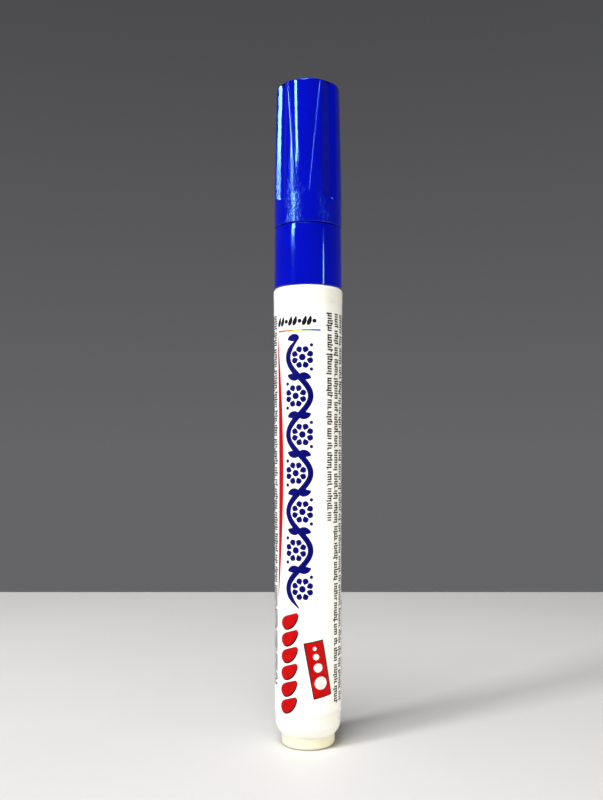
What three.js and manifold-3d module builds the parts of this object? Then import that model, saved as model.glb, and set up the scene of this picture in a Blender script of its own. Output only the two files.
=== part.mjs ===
// Valve-action paint marker standing on its tail, cap up. Millimetres, +Z up.
// The origin is the centre of the flat base under the tail, and the printed front faces -Y.
import * as THREE from "three";
import { mergeVertices } from "three/addons/utils/BufferGeometryUtils.js";
import Module from "manifold-3d";

const wasm = await Module();
wasm.setup();

// Facets round the large turned pieces, the small ones and the ball, and steps along their outlines
const largeSides = 40;
const smallSides = 24;
const ballSides = 16;
const edgeSteps = 4;
const beadSteps = 4;
const wallSteps = 5;
const capSteps = 7;

// Lengths along the axis, from the tail to the nib
const plugDiscHeight = 2.7;
const barrelLength = 94.5;
const collarHeight = 12.8;
const neckHeight = 6.2;
const noseHeight = 12.3;
const nibOutLength = 5;
const nibLength = 23;

// Barrel
const barrelTailRadius = 7.13;
const barrelHeadRadius = 7.36;
const barrelFlare = 1.8;
const barrelWall = 1.05;
const barrelFloor = 1.5;
const barrelMouthEdge = 0.5;
const tailInset = 1.38;
const tailBevelPower = 1.5;
const tailBevelDepth = 1.2;
const tailBevelHeight = 2.2;
const tailSwellHeight = 2.7;
const seatWall = 1.1;

// Printed film in its shallow seat on the barrel
const filmThickness = 0.12;
const filmGap = 0.05;
const filmSeatDepth = 0.2;
const filmFromTail = 5.2;
const filmFromMouth = 3.7;
const filmEndGap = 0.05;
const filmSeam = 0.3;

// Tail plug
const plugSpigotHeight = 4.8;
const plugSpigotRadius = 4.3;
const plugSpigotGap = 0.1;
const plugWall = 1.1;
const plugLead = 0.5;
const plugFloor = 1.3;
const plugEdge = 1;
const plugDraft = 0.08;

// Mixing ball
const ballRadius = 2.5;
const ballRestGap = 0.02;

// Collar, spigot and neck of the front section
const collarStep = 0.13;
const collarTaper = 0.09;
const collarEdge = 0.18;
const spigotLength = 8;
const spigotGap = 0.1;
const spigotBeadHeight = 0.07;
const spigotBeadWidth = 1.2;
const spigotBeadFromEnd = 2.8;
const spigotBeadFromCollar = 2;
const spigotLead = 0.4;
const neckBeadHeight = 0.1;
const neckBeadWidth = 1.2;
const neckBeadRise = 3.1;
const neckBeadGap = 0.15;
const neckEdge = 0.3;

// Nose round the nib
const noseTipWall = 0.95;
const noseTipEdge = 0.3;
const noseBulge = 0.35;
const nibGap = 0.1;
const nibLipLength = 2;
const channelGap = 0.35;
const chamberTaperHeight = 1.2;

// Nib
const nibRadius = 1.85;
const nibTipHeight = 2.2;
const nibTipFlat = 0.35;
const nibTailEdge = 0.35;

// Valve, from the nib's tail down
const stemReach = 2.8;
const stemRadius = 1;
const stemGap = 1.1;
const sealThickness = 1.4;
const sealLap = 0.5;
const sealSeatLap = 1.6;
const flowGap = 0.8;
const plungerHeadHeight = 1.7;
const plungerBodyRadius = 1.5;
const plungerBodyHeight = 7.6;
const plungerFlangeHeight = 1;
const plungerFlangeLap = 0.2;
const springLength = 14;
const housingWall = 1.2;
const housingGap = 0.15;
const housingFloor = 1.5;
const pinRadius = 0.95;
const pinGap = 0.2;
const pinEndInset = 0.3;
const windowWidth = 2.8;
const windowHeight = 5;
const windowRise = 1.4;

// Valve spring
const springWireRadius = 0.2;
const springPinGap = 0.75;
const springTurns = 8;
const springSeatGap = 0.12;
const springStepsPerTurn = 8;
const springWireSides = 5;

// Cap
const capMouthGap = 0.15;
const capProud = 0.025;
const capWall = 0.9;
const capMouthEdge = 0.12;
const capTopWall = 1.5;
const capTopEdge = 0.5;
const capNarrowing = 0.465;
const capCurve = 1.45;
const capStepGap = 0.3;
const gripBandHeight = 5.85;

// Relief on the cap
const panelCount = 2;
const reliefTurn = -8.3;
const fluteFromPanel = 48;
const fluteDepth = 0.6;
const fluteCutterRadius = 2.36;
const panelDepth = 0.25;
const panelTopHalfWidth = 3.44;
const panelEndRadius = 1.3;

// Liner in the cap
const linerWall = 0.75;
const linerGap = 0.15;
const linerTopGap = 0.1;
const linerTopWall = 1;
const linerSeatGap = 0.1;
const linerNoseGap = 0.2;
const nibHeadroom = 3.9;
const linerEdge = 0.4;

// Levels along the axis
const barrelBottom = plugDiscHeight;
const barrelTop = barrelBottom + barrelLength;
const tailBevelTop = barrelBottom + tailBevelHeight;
const tailSwellTop = tailBevelTop + tailSwellHeight;
const filmBottom = barrelBottom + filmFromTail;
const filmTop = barrelTop - filmFromMouth;
const collarTop = barrelTop + collarHeight;
const spigotBottom = barrelTop - spigotLength;
const neckTop = collarTop + neckHeight;
const noseTop = neckTop + noseHeight;
const nibTip = noseTop + nibOutLength;
const nibTail = nibTip - nibLength;
const sealTop = nibTail - stemReach;
const sealBottom = sealTop - sealThickness;
const plungerHeadBottom = sealBottom - plungerHeadHeight;
const plungerFlangeTop = plungerHeadBottom - plungerBodyHeight;
const plungerFlangeBottom = plungerFlangeTop - plungerFlangeHeight;
const springSeat = plungerFlangeBottom - springLength;
const housingBottom = springSeat - housingFloor;
const pinEnd = housingBottom + pinEndInset;
const linerCeiling = nibTip + nibHeadroom;
const linerTop = linerCeiling + linerTopWall;
const linerRim = neckTop + linerSeatGap;
const capMouth = collarTop + capMouthGap;
const capCeiling = linerTop + linerTopGap;
const capTop = capCeiling + capTopWall;
const capStep = neckTop + capStepGap;
const reliefBottom = capMouth + gripBandHeight;

// Radii that follow from the sizes above
const tailRadius = barrelTailRadius - tailInset;
const tailBevelRadius = tailRadius + tailBevelDepth;
const seatBore = barrelHeadRadius - seatWall;
const spigotRadius = seatBore - spigotGap;
const collarRadius = barrelHeadRadius - collarStep;
const collarTopRadius = collarRadius - collarTaper;
const capRadius = collarTopRadius + capProud;
const capBore = capRadius - capWall;
const neckRadius = capBore - neckBeadGap - neckBeadHeight;
const sealHole = stemRadius + stemGap;
const plungerHeadRadius = sealHole + sealLap;
const housingBore = plungerHeadRadius + flowGap;
const housingRadius = housingBore + housingWall;
const frontBore = housingRadius + housingGap;
const sealRadius = housingRadius;
const chamberRadius = sealRadius - sealSeatLap;
const lipBore = nibRadius + nibGap;
const noseTipRadius = lipBore + noseTipWall;
const channelRadius = lipBore + channelGap;
const springRadius = pinRadius + springPinGap + springWireRadius;
const plungerFlangeRadius = springRadius + springWireRadius + plungerFlangeLap;
const capTopRadius = capOutline(capTop);
const capUpperBoreTop = capTopRadius - fluteDepth - capWall;
const capUpperBoreStep = capOutline(capStep) - fluteDepth - capWall;
const noseBaseRadius = linerOutline(linerRim) - linerWall - linerNoseGap;

// Outside of the barrel: nearly straight near the tail, widening more towards the mouth
function barrelOutline(z) {
  const rise = Math.max(0, z - tailSwellTop) / (barrelTop - tailSwellTop);
  return barrelTailRadius + (barrelHeadRadius - barrelTailRadius) * Math.pow(rise, barrelFlare);
}

// Outside of the cap without its relief: straight at the mouth, then curving in to the top
function capOutline(z) {
  const rise = Math.max(0, z - reliefBottom) / (capTop - reliefBottom);
  return capRadius - capNarrowing * Math.pow(rise, capCurve);
}

// Upper bore of the cap: a straight taper
function capUpperBore(z) {
  const rise = (z - capStep) / (capCeiling - capStep);
  return capUpperBoreStep + (capUpperBoreTop - capUpperBoreStep) * rise;
}

// Outside of the liner: the cap's upper bore less its gap
function linerOutline(z) {
  return capUpperBore(z) - linerGap;
}

// Levels from one height to another in equal steps, both ends included
function levels(from, to, steps) {
  return Array.from({ length: steps + 1 }, (_, i) => from + ((to - from) * i) / steps);
}

// Rounded corner as points [radius, height], from the start to the end of a quarter of a superellipse.
// outFirst leaves the start along the radius; otherwise it leaves along the axis.
function corner(start, end, outFirst, power = 2) {
  return levels(0, Math.PI / 2, edgeSteps).map((angle) => {
    const fast = Math.pow(Math.sin(angle), 2 / power);
    const slow = 1 - Math.pow(Math.cos(angle), 2 / power);
    const [alongRadius, alongAxis] = outFirst ? [fast, slow] : [slow, fast];
    return [start[0] + (end[0] - start[0]) * alongRadius, start[1] + (end[1] - start[1]) * alongAxis];
  });
}

// Low round bead on a turned surface as points [radius, height], from the bottom to the top
function bead(radius, middle, height, width) {
  return levels(0, Math.PI, beadSteps).map((angle) => [
    radius + height * Math.sin(angle),
    middle - (width / 2) * Math.cos(angle),
  ]);
}

// Geometry with shared corners joined and collapsed triangles left out
function cleaned(geometry) {
  const bare = geometry.clone();
  bare.deleteAttribute("normal");
  bare.deleteAttribute("uv");
  const merged = mergeVertices(bare, 1e-5);
  const index = merged.index.array;
  const kept = [];
  for (let i = 0; i < index.length; i += 3) {
    const [a, b, c] = [index[i], index[i + 1], index[i + 2]];
    if (a !== b && b !== c && c !== a) kept.push(a, b, c);
  }
  merged.setIndex(kept);
  return merged;
}

// Solid turned about the Z axis from points [radius, height] that run outwards, up and back inwards.
// Facet corners start at the front, -Y, and go round by +X.
function turned(points, sides, closed) {
  const loop = closed ? [...points, points[0]] : points;
  const profile = loop.map(([radius, height]) => new THREE.Vector2(radius, height));
  return cleaned(new THREE.LatheGeometry(profile, sides).rotateX(Math.PI / 2));
}

// Closed geometry as a solid for joining and cutting
function toSolid(geometry) {
  const bare = cleaned(geometry);
  const vertProperties = new Float32Array(bare.attributes.position.array);
  const triVerts = new Uint32Array(bare.index.array);
  return new wasm.Manifold(new wasm.Mesh({ numProp: 3, vertProperties, triVerts }));
}

// Solid back as a geometry
function toGeometry(solid) {
  const mesh = solid.getMesh();
  const geometry = new THREE.BufferGeometry();
  geometry.setAttribute("position", new THREE.BufferAttribute(mesh.vertProperties, 3));
  geometry.setIndex(new THREE.BufferAttribute(mesh.triVerts, 1));
  return geometry;
}

// Piece less its cutters
function cut(geometry, cutters) {
  return toGeometry(cutters.reduce((solid, cutter) => solid.subtract(toSolid(cutter)), toSolid(geometry)));
}

// White tube, closed in round the plug at the tail and open at the mouth
function barrel() {
  const bore = plugSpigotRadius + plugSpigotGap;
  const floorTop = barrelBottom + barrelFloor;
  const seatBottom = spigotBottom - spigotLead;
  const wallInside = (z) => [barrelOutline(z) - barrelWall, z];
  const seatOutside = (z) => [barrelOutline(z) - filmSeatDepth, z];
  const mouthEdgeStart = [barrelOutline(barrelTop - barrelMouthEdge), barrelTop - barrelMouthEdge];
  return turned(
    [
      [bore, barrelBottom],
      ...corner([tailRadius, barrelBottom], [tailBevelRadius, tailBevelTop], true, tailBevelPower),
      ...corner([tailBevelRadius, tailBevelTop], [barrelTailRadius, tailSwellTop], false).slice(1),
      [barrelOutline(filmBottom), filmBottom],
      ...levels(filmBottom, filmTop, wallSteps).map(seatOutside),
      [barrelOutline(filmTop), filmTop],
      ...corner(mouthEdgeStart, [barrelHeadRadius - barrelMouthEdge, barrelTop], false),
      [seatBore, barrelTop],
      [seatBore, seatBottom],
      ...levels(seatBottom - spigotLead, tailSwellTop, wallSteps).map(wallInside),
      ...corner(wallInside(tailSwellTop), [tailBevelRadius - barrelWall, floorTop], false).slice(1),
      [bore, floorTop],
    ],
    largeSides,
    true,
  );
}

// Thin film round the barrel, open at a seam at the back
function printedLabel() {
  const bottom = filmBottom + filmEndGap;
  const top = filmTop - filmEndGap;
  const seatRadius = (z) => barrelOutline(z) - filmSeatDepth;
  const inside = (z) => [seatRadius(z) + filmGap, z];
  const outside = (z) => [seatRadius(z) + filmGap + filmThickness, z];
  const sleeve = turned(
    [...levels(bottom, top, wallSteps).map(outside), ...levels(top, bottom, wallSteps).map(inside)],
    largeSides,
    true,
  );
  const seam = new THREE.BoxGeometry(filmSeam, barrelHeadRadius, barrelLength);
  seam.translate(0, barrelHeadRadius, (barrelBottom + barrelTop) / 2);
  return cut(sleeve, [seam]);
}

// Cup-shaped plug with a flat base, pushed into the tail up to its disc
function tailPlug() {
  const spigotTop = plugDiscHeight + plugSpigotHeight;
  const cup = plugSpigotRadius - plugWall;
  return turned(
    [
      [0, 0],
      ...corner([tailRadius - plugDraft - plugEdge, 0], [tailRadius - plugDraft, plugEdge], true),
      [tailRadius, plugDiscHeight],
      [plugSpigotRadius, plugDiscHeight],
      [plugSpigotRadius, spigotTop - plugLead],
      [plugSpigotRadius - plugLead, spigotTop],
      [cup, spigotTop],
      [cup, plugFloor],
      [0, plugFloor],
    ],
    largeSides,
    false,
  );
}

// Loose steel ball resting in the plug
function mixingBall() {
  const ball = new THREE.SphereGeometry(ballRadius, ballSides, ballSides / 2).rotateX(Math.PI / 2);
  return cleaned(ball.translate(0, 0, plugFloor + ballRadius + ballRestGap));
}

// Blue moulding: spigot in the barrel, collar, neck for the cap, and nose round the nib
function frontSection() {
  const firstBead = spigotBottom + spigotBeadFromEnd;
  const secondBead = barrelTop - spigotBeadFromCollar;
  const neckBead = collarTop + neckBeadRise;
  const collarEdgeStart = [collarTopRadius, collarTop - collarEdge];
  const lipBottom = noseTop - nibLipLength;
  const noseEdgeBottom = noseTop - noseTipEdge;
  const nose = levels(0, 1, wallSteps).map((rise) => [
    noseBaseRadius + (noseTipRadius - noseBaseRadius) * rise + noseBulge * Math.sin(Math.PI * rise),
    neckTop + (noseEdgeBottom - neckTop) * rise,
  ]);
  return turned(
    [
      [frontBore, spigotBottom],
      [spigotRadius - spigotLead, spigotBottom],
      [spigotRadius, spigotBottom + spigotLead],
      ...bead(spigotRadius, firstBead, spigotBeadHeight, spigotBeadWidth),
      ...bead(spigotRadius, secondBead, spigotBeadHeight, spigotBeadWidth),
      [spigotRadius, barrelTop],
      [collarRadius, barrelTop],
      ...corner(collarEdgeStart, [collarTopRadius - collarEdge, collarTop], false),
      [neckRadius, collarTop],
      ...bead(neckRadius, neckBead, neckBeadHeight, neckBeadWidth),
      [neckRadius, neckTop - neckEdge],
      [neckRadius - neckEdge, neckTop],
      ...nose,
      [noseTipRadius - noseTipEdge, noseTop],
      [lipBore, noseTop],
      [lipBore, lipBottom],
      [channelRadius, lipBottom - channelGap],
      [channelRadius, neckTop + chamberTaperHeight],
      [chamberRadius, neckTop],
      [chamberRadius, sealTop],
      [frontBore, sealTop],
    ],
    largeSides,
    true,
  );
}

// Fibre rod with a rounded writing tip
function nib() {
  const shoulder = nibTip - nibTipHeight;
  return turned(
    [
      [0, nibTail],
      [nibRadius - nibTailEdge, nibTail],
      [nibRadius, nibTail + nibTailEdge],
      ...corner([nibRadius, shoulder], [nibTipFlat, nibTip], false),
      [0, nibTip],
    ],
    smallSides,
    false,
  );
}

// Open-topped cage with a floor, a guide hole and four windows that let the paint in
function valveHousing() {
  const cage = turned(
    [
      [pinRadius + pinGap, housingBottom],
      [housingRadius, housingBottom],
      [housingRadius, sealBottom],
      [housingBore, sealBottom],
      [housingBore, springSeat],
      [pinRadius + pinGap, springSeat],
    ],
    smallSides,
    true,
  );
  const windowMiddle = springSeat + windowRise + windowHeight / 2;
  const alongX = new THREE.BoxGeometry(4 * housingRadius, windowWidth, windowHeight);
  alongX.translate(0, 0, windowMiddle);
  const alongY = alongX.clone().rotateZ(Math.PI / 2);
  return cut(cage, [alongX, alongY]);
}

// Soft ring gripped between the housing and the ledge in the front section
function valveSeal() {
  return turned(
    [
      [sealHole, sealBottom],
      [sealRadius, sealBottom],
      [sealRadius, sealTop],
      [sealHole, sealTop],
    ],
    smallSides,
    true,
  );
}

// Turned plunger: guide pin, spring flange, body, sealing head and the stem that meets the nib
function valvePlunger() {
  return turned(
    [
      [0, pinEnd],
      [pinRadius - pinGap, pinEnd],
      [pinRadius, pinEnd + pinGap],
      [pinRadius, plungerFlangeBottom],
      [plungerFlangeRadius, plungerFlangeBottom],
      [plungerFlangeRadius, plungerFlangeTop],
      [plungerBodyRadius, plungerFlangeTop],
      [plungerBodyRadius, plungerHeadBottom],
      [plungerHeadRadius, plungerHeadBottom],
      [plungerHeadRadius, sealBottom],
      [stemRadius, sealBottom],
      [stemRadius, nibTail],
      [0, nibTail],
    ],
    smallSides,
    false,
  );
}

// Rising circle that the spring's wire follows
class SpringPath extends THREE.Curve {
  getPoint(share, target = new THREE.Vector3()) {
    const turn = share * springTurns * 2 * Math.PI;
    const bottom = springSeat + springSeatGap + springWireRadius;
    const top = plungerFlangeBottom - springSeatGap - springWireRadius;
    const height = bottom + (top - bottom) * share;
    return target.set(springRadius * Math.cos(turn), springRadius * Math.sin(turn), height);
  }
}

// Compression spring between the housing's floor and the plunger's flange
function valveSpring() {
  const wire = new THREE.Shape();
  wire.absarc(0, 0, springWireRadius, 0, 2 * Math.PI);
  const shape = new THREE.Shape(wire.getSpacedPoints(springWireSides).slice(0, -1));
  return cleaned(
    new THREE.ExtrudeGeometry(shape, {
      steps: springTurns * springStepsPerTurn,
      extrudePath: new SpringPath(),
    }),
  );
}

// Round-ended cutter for one flute, leaning in with the cap
function fluteCutter() {
  const away = fluteCutterRadius - fluteDepth;
  const reach = Math.sqrt(fluteCutterRadius ** 2 - away ** 2);
  const foot = reliefBottom + reach;
  const over = capTop + capTopWall;
  const footRadius = capOutline(foot) + away;
  const topRadius = capTopRadius + away;
  const rod = turned(
    [
      ...corner([0, -fluteCutterRadius], [fluteCutterRadius, 0], true),
      [fluteCutterRadius, over - foot],
      [0, over - foot],
    ],
    smallSides,
    false,
  );
  rod.rotateX(-Math.atan2(footRadius - topRadius, capTop - foot));
  return rod.translate(0, -footRadius, foot);
}

// Cutter for one V-shaped recess: the V standing outwards, kept outside the recess's floor
function panelCutter() {
  const outline = new THREE.Shape();
  const endMiddle = reliefBottom + panelEndRadius;
  const over = capTop + capTopWall;
  const slope = (panelTopHalfWidth - panelEndRadius) / (capTop - endMiddle);
  const overHalfWidth = panelTopHalfWidth + slope * capTopWall;
  outline.moveTo(-overHalfWidth, over);
  outline.lineTo(-panelEndRadius, endMiddle);
  outline.absarc(0, endMiddle, panelEndRadius, Math.PI, 2 * Math.PI, false);
  outline.lineTo(overHalfWidth, over);
  const vee = new THREE.ExtrudeGeometry(outline, {
    depth: 2 * capRadius,
    bevelEnabled: false,
    curveSegments: 2 * edgeSteps,
  }).rotateX(Math.PI / 2);
  const floor = (z) => [capOutline(z) - panelDepth, z];
  const around = turned(
    [
      ...levels(over, reliefBottom - panelEndRadius, capSteps).map(floor),
      [2 * capRadius, reliefBottom - panelEndRadius],
      [2 * capRadius, over],
    ],
    largeSides,
    true,
  );
  return toGeometry(toSolid(vee).intersect(toSolid(around)));
}

// Blue cap shell, open at the mouth, with its flutes and V-shaped recesses
function capShell() {
  const upper = levels(reliefBottom, capTop - capTopEdge, capSteps).map((z) => [capOutline(z), z]);
  const edgeStart = upper[upper.length - 1];
  const shell = turned(
    [
      [0, capCeiling],
      [capUpperBoreTop, capCeiling],
      [capUpperBoreStep, capStep],
      [capBore, capStep],
      [capBore, capMouth + capMouthEdge],
      [capBore + capMouthEdge, capMouth],
      [capRadius - capMouthEdge, capMouth],
      [capRadius, capMouth + capMouthEdge],
      ...upper,
      ...corner(edgeStart, [edgeStart[0] - capTopEdge, capTop], false).slice(1),
      [0, capTop],
    ],
    largeSides,
    false,
  );
  const first = THREE.MathUtils.degToRad(reliefTurn);
  const aside = THREE.MathUtils.degToRad(fluteFromPanel);
  const middles = Array.from({ length: panelCount }, (_, i) => first + (i * 2 * Math.PI) / panelCount);
  const panels = middles.map((angle) => panelCutter().rotateZ(angle));
  const beside = middles.flatMap((angle) => [angle - aside, angle + aside]);
  const flutes = beside.map((angle) => fluteCutter().rotateZ(angle));
  return cut(shell, [...panels, ...flutes]);
}

// Closed liner in the cap, its rim on the shoulder of the neck
function innerCap() {
  const outside = [linerOutline(linerRim), linerRim];
  const topOutside = [linerOutline(linerTop), linerTop - linerEdge];
  return turned(
    [
      [0, linerCeiling],
      [linerOutline(linerCeiling) - linerWall, linerCeiling],
      [linerOutline(linerRim) - linerWall, linerRim],
      outside,
      topOutside,
      [linerOutline(linerTop) - linerEdge, linerTop],
      [0, linerTop],
    ],
    largeSides,
    false,
  );
}

// Finishes of the pieces
const whitePlastic = { color: 0xf6f5ee, roughness: 0.35, metalness: 0 };
const bluePlastic = { color: 0x0c16c8, roughness: 0.2, metalness: 0 };
const film = { color: 0xfbfbf6, roughness: 0.3, metalness: 0 };
const fibre = { color: 0x1c2fb0, roughness: 0.95, metalness: 0 };
const naturalPlastic = { color: 0xe8e6dc, roughness: 0.45, metalness: 0 };
const softRubber = { color: 0x33343a, roughness: 0.8, metalness: 0 };
const steel = { color: 0xb8bcc2, roughness: 0.25, metalness: 1 };

// The whole marker
const marker = new THREE.Group();
marker.name = "porcelain_pen";

function place(name, geometry, finish) {
  const mesh = new THREE.Mesh(geometry, new THREE.MeshStandardMaterial(finish));
  mesh.name = name;
  geometry.computeVertexNormals();
  marker.add(mesh);
}

place("barrel", barrel(), whitePlastic);
place("printed_label", printedLabel(), film);
place("tail_plug", tailPlug(), whitePlastic);
place("mixing_ball", mixingBall(), steel);
place("front_section", frontSection(), bluePlastic);
place("nib", nib(), fibre);
place("valve_housing", valveHousing(), naturalPlastic);
place("valve_seal", valveSeal(), softRubber);
place("valve_plunger", valvePlunger(), naturalPlastic);
place("valve_spring", valveSpring(), steel);
place("cap_shell", capShell(), bluePlastic);
place("inner_cap", innerCap(), naturalPlastic);

export default marker;
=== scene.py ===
"""Looks of a valve-action paint marker that stands on its tail, cap up, its printed front towards -Y.

Shapes are worked out in millimetres on numpy grids and put into meshes in metres, in the frame's own axes.
"""

import math

import bpy
import numpy as np
from bpy.props import FloatProperty, FloatVectorProperty, IntProperty, PointerProperty
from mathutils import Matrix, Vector


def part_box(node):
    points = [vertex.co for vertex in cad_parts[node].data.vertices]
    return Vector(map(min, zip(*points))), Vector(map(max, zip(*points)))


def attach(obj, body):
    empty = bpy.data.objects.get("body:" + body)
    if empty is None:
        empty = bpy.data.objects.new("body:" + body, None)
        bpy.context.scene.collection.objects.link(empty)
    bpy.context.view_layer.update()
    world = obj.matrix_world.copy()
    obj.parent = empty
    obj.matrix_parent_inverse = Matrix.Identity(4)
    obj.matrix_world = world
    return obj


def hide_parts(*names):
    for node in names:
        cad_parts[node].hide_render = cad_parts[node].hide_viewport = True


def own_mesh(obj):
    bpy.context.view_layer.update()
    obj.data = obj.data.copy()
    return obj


bl_info = {
    "name": "Paint marker looks",
    "version": (1, 0, 0),
    "blender": (4, 5, 0),
    "location": "View3D > Sidebar > Paint marker",
    "description": "Builds the finished surfaces of a paint marker round its packed frame",
    "category": "Add Mesh",
}

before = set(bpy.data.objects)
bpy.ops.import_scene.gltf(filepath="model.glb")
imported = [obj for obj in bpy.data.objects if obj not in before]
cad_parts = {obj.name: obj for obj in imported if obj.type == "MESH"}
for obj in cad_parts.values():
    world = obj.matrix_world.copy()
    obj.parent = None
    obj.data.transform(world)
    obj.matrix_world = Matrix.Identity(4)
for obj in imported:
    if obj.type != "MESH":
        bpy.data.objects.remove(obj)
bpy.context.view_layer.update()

MM = 0.001


def span(node):
    """Lowest height, highest height and greatest half width of a frame node, in millimetres."""
    low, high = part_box(node)
    return low.z / MM, high.z / MM, high.x / MM


BARREL_BOTTOM, BARREL_TOP, BARREL_RADIUS = span("barrel")
LABEL_BOTTOM, LABEL_TOP, LABEL_RADIUS = span("printed_label")
PLUG_BOTTOM, PLUG_TOP, PLUG_RADIUS = span("tail_plug")
BALL_BOTTOM, BALL_TOP = span("mixing_ball")[:2]
SPIGOT_BOTTOM, NOSE_TOP, COLLAR_RADIUS = span("front_section")
NIB_BOTTOM, NIB_TOP, NIB_RADIUS = span("nib")
HOUSING_BOTTOM, HOUSING_TOP, HOUSING_RADIUS = span("valve_housing")
SEAL_BOTTOM, SEAL_TOP, SEAL_RADIUS = span("valve_seal")
PIN_BOTTOM, STEM_TOP, HEAD_RADIUS = span("valve_plunger")
SPRING_BOTTOM, SPRING_TOP, SPRING_RADIUS = span("valve_spring")
CAP_BOTTOM, CAP_TOP, CAP_RADIUS = span("cap_shell")
LINER_BOTTOM, LINER_TOP, LINER_RADIUS = span("inner_cap")

PRINT_RADIUS = 7.2
COLUMN_WIDTH = 0.4
VINE_MIDDLE, VINE_SWING, VINE_WAVES = -1.95, 2.45, 3.5
VINE_BOTTOM, VINE_TOP = 30.0, 86.0
TAG_LEAN = math.radians(10.6)
TAG_MIDDLE = np.array([2.15, 17.35])
TAG_DOWN = np.array([math.sin(TAG_LEAN), -math.cos(TAG_LEAN)])
TICK_PACE = 0.5

SMALL_SIDES = 128
BARREL_WALL, SEAT, GLUE, INK = 1.05, 0.2, 0.07, 0.012
SWELL, FLARE_POWER, MOUTH_EDGE = 4.9, 1.8, 0.8
CAP_STRAIGHT, CAP_POWER, CAP_EDGE = 5.85, 1.45, 0.5
CREST, CREST_RADIUS = 0.4, 1.2
RECESS_LOW, HOLLOW, RAMP = 0.14, 0.5, 2.0
VALLEY, FLUTE_FOOT = 0.2, 0.9


class MarkerSizes(bpy.types.PropertyGroup):
    """Sizes that the finish needs beyond the frame's own, in millimetres."""

    sides: IntProperty(name="Sides", description="Facets round a large turned piece", default=256, min=24)
    tail_radius: FloatProperty(name="Tail radius", description="Radius above the tail edge", default=7.13)
    film: FloatProperty(name="Film", description="Thickness of the printed film", default=0.12)
    flute_depth: FloatProperty(name="Flute depth", description="Depth of the cap's flutes", default=0.82)
    flute_inner: FloatProperty(name="Flute inner wall", description="Width of the wide wall", default=2.65)
    flute_outer: FloatProperty(name="Flute outer wall", description="Width of the steep wall", default=1.1)
    flute_turn: FloatProperty(name="Flute turn", description="Degrees from recess to valley", default=55.5)
    flute_rise: FloatProperty(name="Flute rise", description="Height of its end over the mouth", default=4.9)
    recess_depth: FloatProperty(name="Recess depth", description="Depth beside a recess's top", default=0.22)
    recess_top: FloatProperty(name="Recess half width", description="Half width of its top", default=3.52)
    recess_end: FloatProperty(name="Recess end", description="Radius of a recess's lower end", default=1.3)
    relief_turn: FloatProperty(name="Relief turn", description="Degrees the relief is turned", default=-8.7)
    relief_rise: FloatProperty(name="Grip band", description="Height of a recess over the mouth", default=5.3)
    cap_narrowing: FloatProperty(name="Cap narrowing", description="What its radius loses", default=0.465)


class MarkerColours(bpy.types.PropertyGroup):
    """Base colours of the finishes, as linear light."""

    white: FloatVectorProperty(
        name="White", description="Barrel", subtype="COLOR", default=(0.925, 0.915, 0.85)
    )
    blue: FloatVectorProperty(
        name="Blue", description="Cap", subtype="COLOR", default=(0.0005, 0.002, 0.44)
    )
    navy: FloatVectorProperty(
        name="Navy", description="Main print", subtype="COLOR", default=(0.001, 0.001, 0.14)
    )
    red: FloatVectorProperty(
        name="Red", description="Second print", subtype="COLOR", default=(0.52, 0.002, 0.003)
    )
    black: FloatVectorProperty(
        name="Black", description="Fine marks", subtype="COLOR", default=(0.008, 0.008, 0.01)
    )
    natural: FloatVectorProperty(
        name="Natural", description="Inner parts", subtype="COLOR", default=(0.8, 0.79, 0.72)
    )


class MarkerStage(bpy.types.PropertyGroup):
    """Camera and light of the stage."""

    distance: FloatProperty(name="Distance", description="Camera to the axis", unit="LENGTH", default=0.191)
    height: FloatProperty(name="Height", description="Camera above the floor", unit="LENGTH", default=0.06175)
    lens: FloatProperty(name="Lens", description="Focal length in millimetres", default=40.05)
    window: FloatProperty(name="Window", description="Watts of the tall soft light", default=3.5)
    lamp: FloatProperty(name="Lamp", description="Watts of the narrow light", default=0.07)
    ceiling: FloatProperty(name="Ceiling", description="Watts of the light above", default=8.4)
    table: FloatProperty(name="Table", description="Watts of the low light at the right", default=0.052)
    sky: FloatProperty(name="Sky", description="Strength of the even light", default=0.13)


def sizes():
    return bpy.context.scene.marker_sizes


def colours():
    return bpy.context.scene.marker_colours


# Grids and meshes


def pairs(first, second):
    """Points of an outline or a path from their two coordinates."""
    return np.stack(np.broadcast_arrays(first, second), axis=1)


def grid_faces(rows, columns, wrap_rows=False, wrap_columns=False, start=0):
    """Four corners of every cell of a grid of points, numbered row by row from start."""
    row = np.arange(rows if wrap_rows else rows - 1)
    column = np.arange(columns if wrap_columns else columns - 1)
    r, c = np.meshgrid(row, column, indexing="ij")
    up, along = (r + 1) % rows, (c + 1) % columns
    cells = np.stack([r * columns + c, r * columns + along, up * columns + along, up * columns + c], axis=-1)
    return cells.reshape(-1, 4) + start


def walls(edge, facing):
    """Cells that join a closed loop of point numbers to the loop that faces it."""
    return np.stack([edge, facing, np.roll(facing, -1), np.roll(edge, -1)], axis=1)


def add_object(name, data):
    """New object of the scene that holds the data."""
    made = bpy.data.objects.new(name, data)
    bpy.context.scene.collection.objects.link(made)
    return made


def mesh_object(name, points, quads, triangles=()):
    """Object named name whose mesh holds the points, in millimetres, and the faces."""
    mesh = bpy.data.meshes.new(name)
    mesh.vertices.add(len(points))
    mesh.vertices.foreach_set("co", (points * MM).astype(np.float32).ravel())
    corners = np.concatenate([quads.ravel(), np.ravel(triangles)]).astype(np.int32)
    lengths = np.repeat([4, 3], [len(quads), len(triangles)])
    mesh.loops.add(len(corners))
    mesh.loops.foreach_set("vertex_index", corners)
    mesh.polygons.add(len(lengths))
    mesh.polygons.foreach_set("loop_start", (np.cumsum(lengths) - lengths).astype(np.int32))
    mesh.update(calc_edges=True)
    mesh.validate()
    return add_object(name, mesh)


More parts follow.
